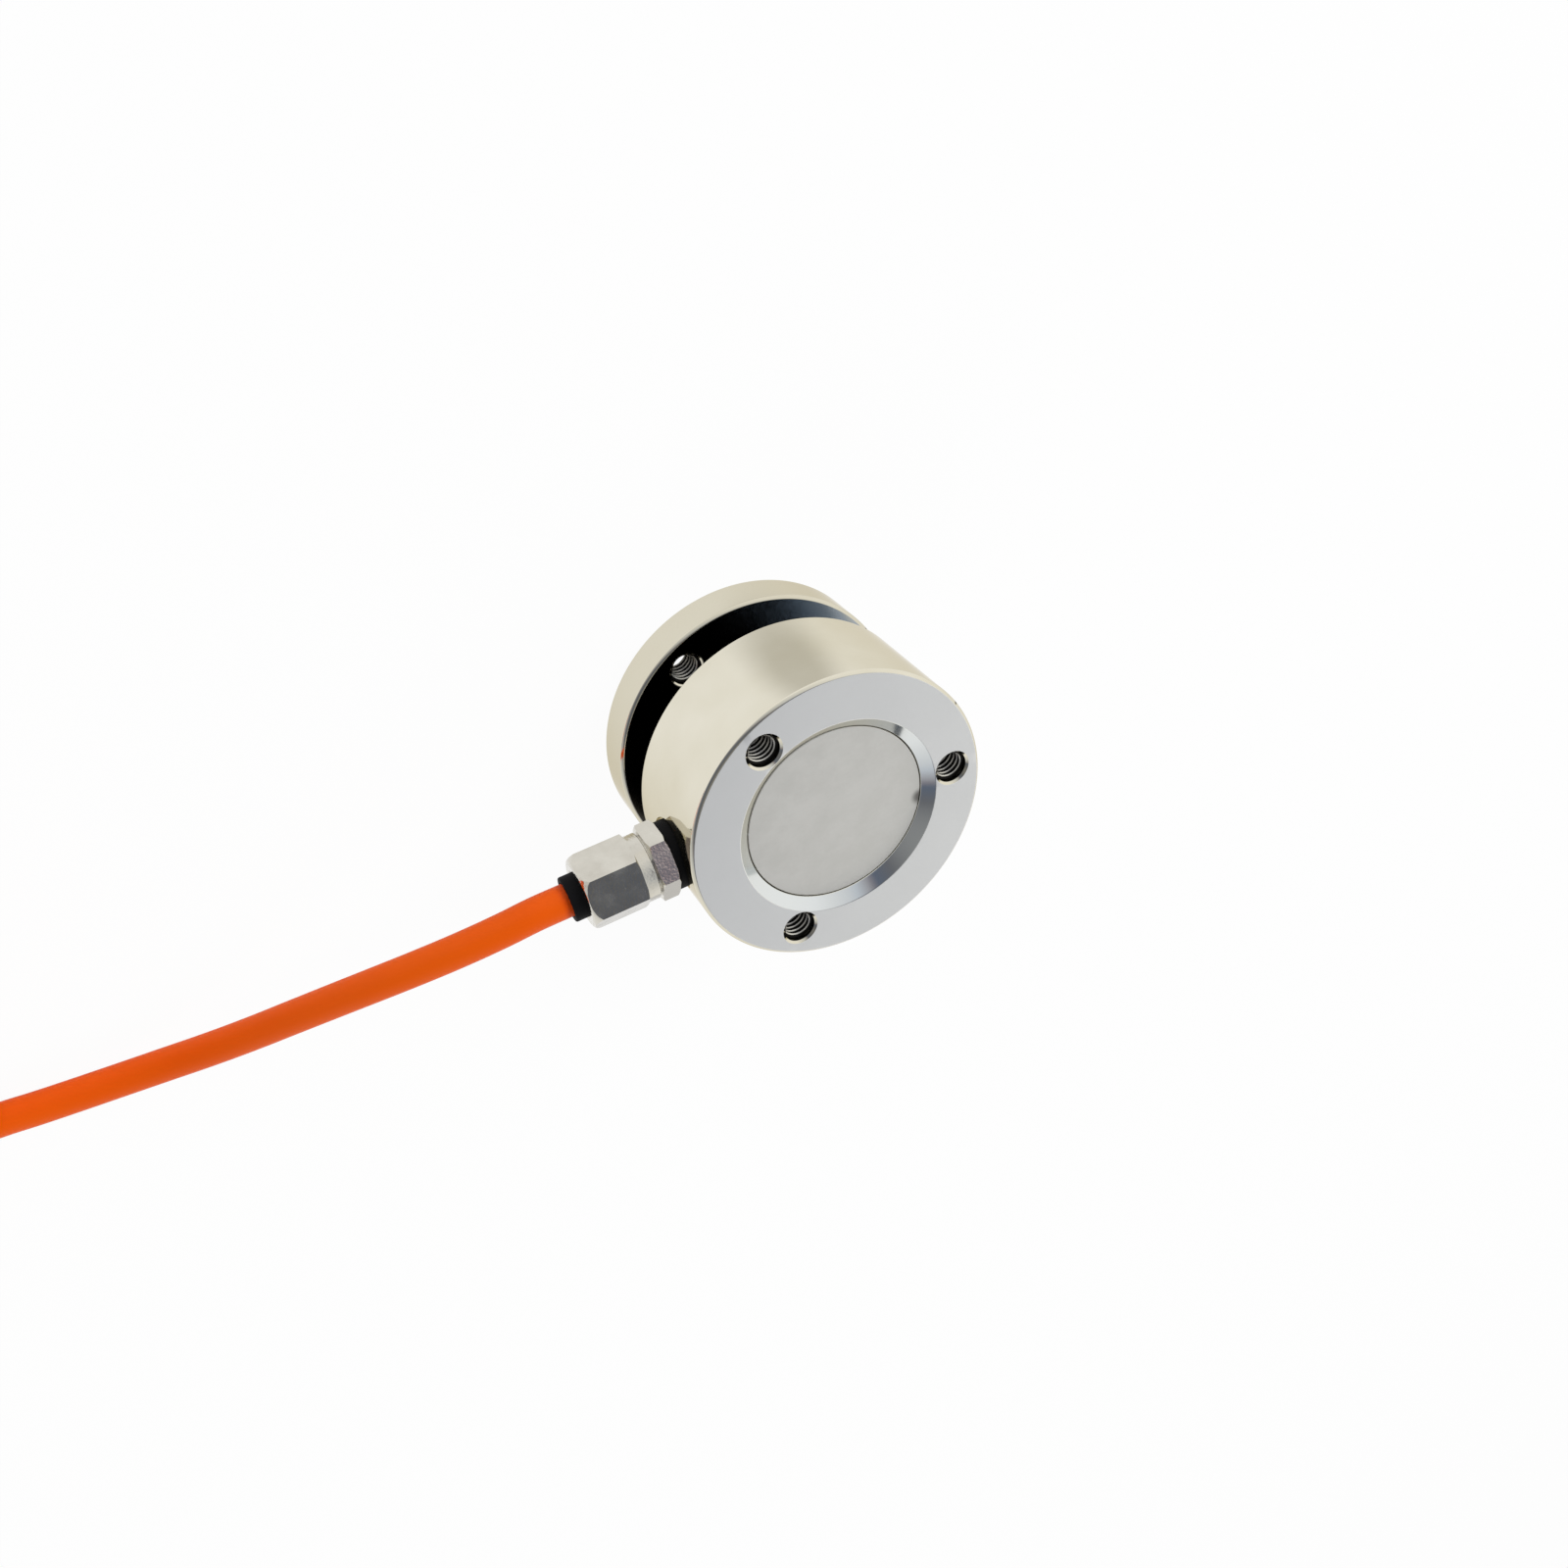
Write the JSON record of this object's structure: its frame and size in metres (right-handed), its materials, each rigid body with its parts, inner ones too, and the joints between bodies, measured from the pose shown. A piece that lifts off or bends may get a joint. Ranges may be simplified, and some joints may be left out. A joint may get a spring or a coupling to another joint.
{
  "type": "strain gauge load cell",
  "caption": "Flange-type strain gauge load cell in polished nickel with a hexagonal gland and an orange cable",
  "frame": {"origin": "middle of the thin flange's flat underside", "axes": "+Z is the load axis, from the thin flange up to the cover; +X is the cable gland's axis"},
  "size_m": [0.178, 0.0665, 0.0267],
  "materials": {
    "nickel_plate": "polished",
    "cover_steel": "satin",
    "gland_nickel": "polished",
    "black_rubber": "matte",
    "orange_jacket": "satin",
    "adhesive": "matte",
    "gauge_foil": "satin",
    "enamelled_wire": "gloss",
    "circuit_board": "satin",
    "solder": "satin",
    "chip_ceramic": "satin",
    "black_tie": "satin",
    "red_insulation": "satin",
    "green_insulation": "satin",
    "white_insulation": "satin",
    "black_insulation": "satin",
    "grey_insulation": "satin"
  },
  "bodies": {
    "root": {"sensing_element": "nickel_plate", "cover_plate": "cover_steel", "cover_adhesive": "adhesive", "strain_gauge_1": "gauge_foil", "strain_gauge_2": "gauge_foil", "strain_gauge_3": "gauge_foil", "strain_gauge_4": "gauge_foil", "gauge_leads_1": "enamelled_wire", "gauge_leads_2": "enamelled_wire", "gauge_leads_3": "enamelled_wire", "gauge_leads_4": "enamelled_wire", "bridge_board": "circuit_board", "board_adhesive": "adhesive", "solder_joints": "solder", "zero_trim_resistor": "chip_ceramic", "span_trim_resistor": "chip_ceramic", "zero_temperature_resistor": "chip_ceramic", "span_temperature_resistor": "chip_ceramic", "core_red": "red_insulation", "core_green": "green_insulation", "core_white": "white_insulation", "core_black": "black_insulation", "gland_gasket": "black_rubber", "gland_body": "gland_nickel", "gland_nut": "gland_nickel", "gland_seal": "black_rubber", "cable_entry": "orange_jacket", "cable_run": "orange_jacket", "cable_coil": "orange_jacket", "coil_tie_1": "black_tie", "coil_tie_2": "black_tie", "cable_tail": "orange_jacket", "end_sleeve": "black_tie", "lead_red": "red_insulation", "lead_green": "green_insulation", "lead_white": "white_insulation", "lead_black": "black_insulation", "shield_lead": "grey_insulation", "lead_tips": "solder"}
  },
  "joints": []
}
